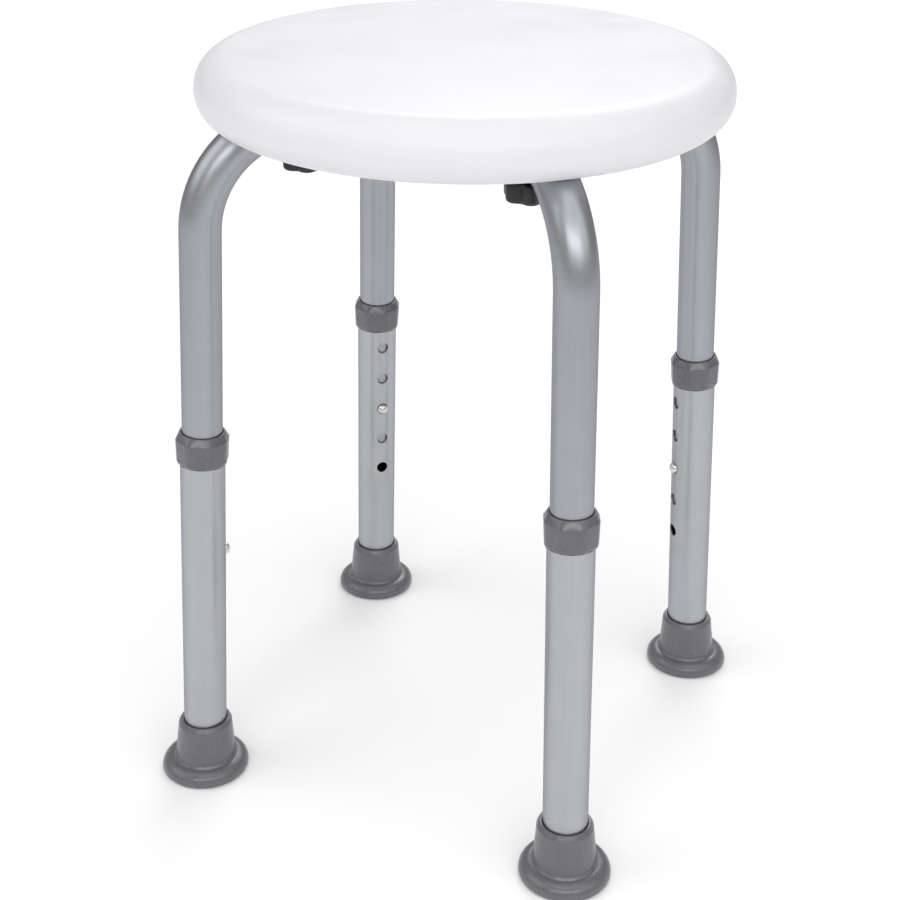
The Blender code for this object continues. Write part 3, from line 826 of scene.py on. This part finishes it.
FOOT_HEIGHT = 39 * mm
FOOT_SOLE = 5.7 * mm
FLANGE_RADIUS = 28.8 * mm
FLANGE_HEIGHT = 10.4 * mm
EDGE_HEIGHT = 3 * mm
CUP_BASE = 20.3 * mm
CUP_FOOT = (CUP_BASE - 0.5 * mm, 12 * mm)
CUP_SHOULDER = (17.7 * mm, 36.2 * mm)
CUP_RIM_RADIUS = 16 * mm
SOLE_GROOVE = 0.8 * mm
SOLE_RINGS = [22.5 * mm, 18 * mm, 13.5 * mm, 9 * mm, 4.5 * mm]
foot_bore = SLEEVE_RADIUS + FIT_GAP
bell = []
for i in range(25):
    angle = radians(86 - 86 * i / 24)
    bell.append((CUP_BASE + (FLANGE_RADIUS - CUP_BASE) * cos(angle) ** 0.9,
                 EDGE_HEIGHT + (FLANGE_HEIGHT - EDGE_HEIGHT) * sin(angle)))
sole = [(FLANGE_RADIUS - 0.3 * mm, 1.6 * mm), (FLANGE_RADIUS - 1.1 * mm, 0.5 * mm),
        (FLANGE_RADIUS - 2.4 * mm, 0)]
for ring in SOLE_RINGS:
    sole += [(ring + 1 * mm, 0), (ring + 0.7 * mm, SOLE_GROOVE),
             (ring - 0.7 * mm, SOLE_GROOVE), (ring - 1 * mm, 0)]
foot_profile = rounded([
    (0, FOOT_SOLE),
    (foot_bore, FOOT_SOLE, 0.4 * mm),
    (foot_bore, FOOT_HEIGHT, 0.4 * mm),
    (CUP_RIM_RADIUS, FOOT_HEIGHT, 0.8 * mm),
    (*CUP_SHOULDER, 1.0 * mm),
    (*CUP_FOOT, 1.5 * mm),
    bell[0],
], steps=7)
foot_mesh = turned("rubber_foot", [*foot_profile, *bell[1:], *sole, (0, 0)], 128)
for vert in foot_mesh.vertices:
    vert.co.x += vert.co.z * tan(LEAN)

# Moulded rubber: mid grey, smooth from the mould, with a soft shine and a trace of dust near the floor.
DUST_HEIGHT = 6 * mm
rubber, tree, shader = new_material("moulded_grey_rubber", "5F5E64", 0.30)
shader.inputs["Specular IOR Level"].default_value = 0.8
where = add(tree, "TexCoord").outputs["Object"]
height = add(tree, "SeparateXYZ", {"Vector": where}).outputs["Z"]
cloud = add(tree, "TexNoise", {"Vector": where, "Scale": 1 / (6 * mm), "Detail": 3.0, "Roughness": 0.6})
low_down = add(tree, "MapRange", {"Value": height, "From Min": 0.0, "From Max": DUST_HEIGHT,
                                  "To Min": 0.3, "To Max": 0.0})
dust = add(tree, "Math", {0: cloud.outputs[0], 1: low_down.outputs[0]}, operation="MULTIPLY")
tint = add(tree, "Mix", {"Factor": dust.outputs[0]}, data_type="RGBA")
tint.inputs[6].default_value, tint.inputs[7].default_value = colour("5F5E64"), colour("7A7980")
dull = add(tree, "MapRange", {"Value": cloud.outputs[0], "From Min": 0.3, "From Max": 0.7,
                              "To Min": 0.24, "To Max": 0.38})
tree.links.new(tint.outputs[2], shader.inputs["Base Color"])
tree.links.new(dull.outputs[0], shader.inputs["Roughness"])
for corner in CORNERS:
    mount("rubber_foot_" + corner, foot_mesh, rubber, "lower_leg_" + corner, "foot_" + corner,
          legs[corner])


# --- Studio -------------------------------------------------------------------------------------------
# A pale floor that runs out of view, soft boxes overhead, in front and to both sides, a narrow strip in
# front that draws the highlights on bevels and bends, a box behind for the floor, and the camera.

FLOOR_REACH = 8.0
work = bmesh.new()
bmesh.ops.create_grid(work, x_segments=8, y_segments=8, size=FLOOR_REACH)
floor_mesh = bpy.data.meshes.new("floor")
work.to_mesh(floor_mesh)
work.free()
paper, tree, shader = new_material("matt_white_paper", "FFFFFF", 0.9)
shader.inputs["Specular IOR Level"].default_value = 0.1
floor_mesh.materials.append(paper)
floor = bpy.data.objects.new("floor", floor_mesh)
bpy.context.scene.collection.objects.link(floor)

# Where each light hangs, where it points, its size and its power.
LIGHTS = {
    "overhead_box": ((0.4, -0.3, 2.9), (0, 0, 0.25), (2.6, 2.2), 20),
    "front_box": ((0.95, -2.15, 1.9), (0, 0, 0.25), (3.3, 1.7), 13.5),
    "front_strip": ((0.85, -1.85, 1.45), (0, 0, 0.25), (2.6, 0.24), 9.5),
    "left_box": ((-2.1, -1.3, 2.1), (0, 0, 0.25), (2.4, 2.2), 20),
    "right_box": ((2.4, -0.4, 1.9), (0, 0, 0.25), (2.2, 1.8), 11),
    "rear_box": ((-0.7, 2.6, 2.2), (-0.9, 2.1, 0), (2.4, 1.4), 38),
}
for name, (spot, aim, size, power) in LIGHTS.items():
    lamp = bpy.data.lights.new(name, "AREA")
    lamp.shape = "RECTANGLE"
    lamp.size, lamp.size_y = size
    lamp.energy = power
    light = bpy.data.objects.new(name, lamp)
    light.location = spot
    light.rotation_euler = (Vector(aim) - Vector(spot)).to_track_quat("-Z", "Y").to_euler()
    bpy.context.scene.collection.objects.link(light)

world = bpy.data.worlds.new("studio")
world.use_nodes = True
bpy.context.scene.world = world
sky = world.node_tree.nodes["Background"]
sky.inputs["Color"].default_value = colour("FFFFFF")
sky.inputs["Strength"].default_value = 0.42

CAMERA_AZIMUTH = radians(23.889)
CAMERA_ELEVATION = radians(26.901)
CAMERA_ROLL = radians(0.463)
CAMERA_DISTANCE = 1.078
CAMERA_SHIFT = -0.00711
CAMERA_HEIGHT = 0.2069
LENS_LENGTH = 65.43
SENSOR_WIDTH = 36
back = Vector((sin(CAMERA_AZIMUTH) * cos(CAMERA_ELEVATION), -cos(CAMERA_AZIMUTH) * cos(CAMERA_ELEVATION),
               sin(CAMERA_ELEVATION)))
right = Vector((cos(CAMERA_AZIMUTH), sin(CAMERA_AZIMUTH), 0))
up = back.cross(right)
across = right * cos(CAMERA_ROLL) + up * sin(CAMERA_ROLL)
upright = up * cos(CAMERA_ROLL) - right * sin(CAMERA_ROLL)
place = right * CAMERA_SHIFT + Vector((0, 0, CAMERA_HEIGHT)) + back * CAMERA_DISTANCE
lens = bpy.data.cameras.new("camera")
lens.sensor_width = SENSOR_WIDTH
lens.lens = LENS_LENGTH
camera = bpy.data.objects.new("camera", lens)
camera.matrix_world = Matrix.Translation(place) @ Matrix((across, upright, back)).transposed().to_4x4()
bpy.context.scene.collection.objects.link(camera)
bpy.context.scene.camera = camera
bpy.context.scene.view_settings.view_transform = "Standard"
